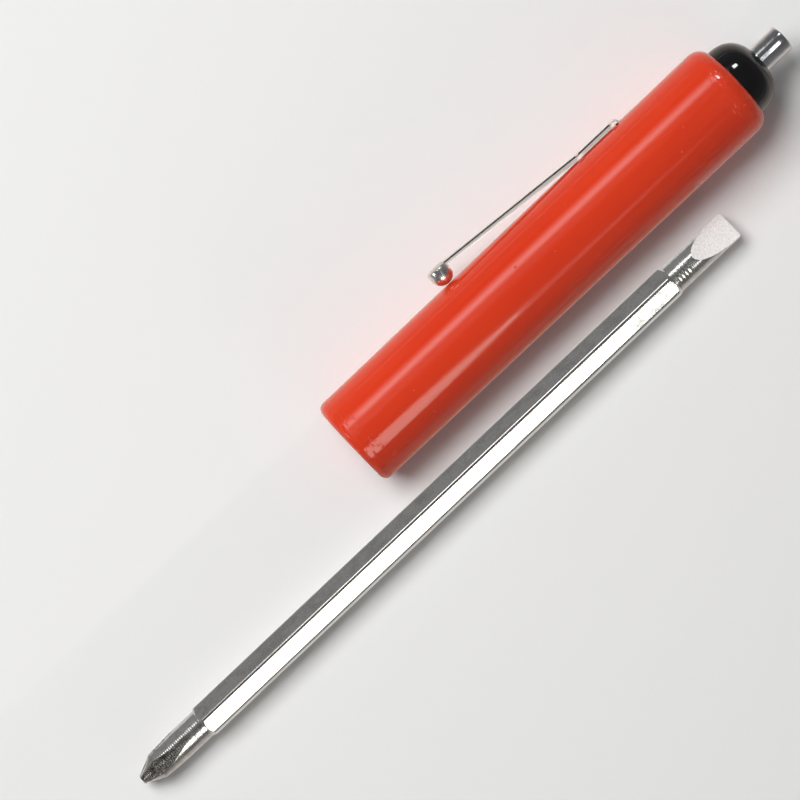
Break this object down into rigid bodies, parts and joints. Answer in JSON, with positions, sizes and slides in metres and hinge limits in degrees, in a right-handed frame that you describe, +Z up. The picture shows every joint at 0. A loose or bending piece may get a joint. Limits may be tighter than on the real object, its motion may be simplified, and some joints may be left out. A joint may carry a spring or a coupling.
{
  "type": "pocket screwdriver",
  "caption": "Pocket screwdriver with a reversible double-ended hexagonal blade drawn out beside its moulded handle, a magnet in the crown and a spring pocket clip.",
  "frame": {"origin": "centre of the hexagonal blade socket's mouth, on the handle's axis and in the plane of the handle's flat mouth face", "axes": "+X along the handle from the mouth to the magnet, +Y to the side that carries the pocket clip, +Z up, away from the surface that the handle and the blade lie on"},
  "size_m": [0.1831, 0.0357, 0.0194],
  "materials": {
    "barrel_plastic": "glossy moulded orange-red plastic",
    "spring_steel": "blued spring steel, satin",
    "crown_plastic": "polished black plastic",
    "magnet_plating": "bright nickel plating",
    "clip_plating": "bright nickel plating on stamped steel",
    "blade_steel": "plated tool steel, satin with fine lengthwise draw marks"
  },
  "bodies": {
    "handle": {"handle_barrel": "barrel_plastic", "blade_spring": "spring_steel", "top_cap": "crown_plastic", "magnet": "magnet_plating"},
    "clip": {"pocket_clip": "clip_plating"},
    "blade": {"blade": "blade_steel"}
  },
  "joints": [
    {"name": "blade_draw", "type": "slide", "parent": "handle", "child": "blade", "axis": [-1, 0, 0], "range_m": [0, 0.0804]},
    {"name": "clip_flex", "type": "hinge", "parent": "handle", "child": "clip", "pos_m": [0.0776, 0.00951, 0.00134], "axis": [0, 0.1392, -0.9903], "range_deg": [0, 6], "stiffness_Nm_per_rad": 1.2}
  ]
}
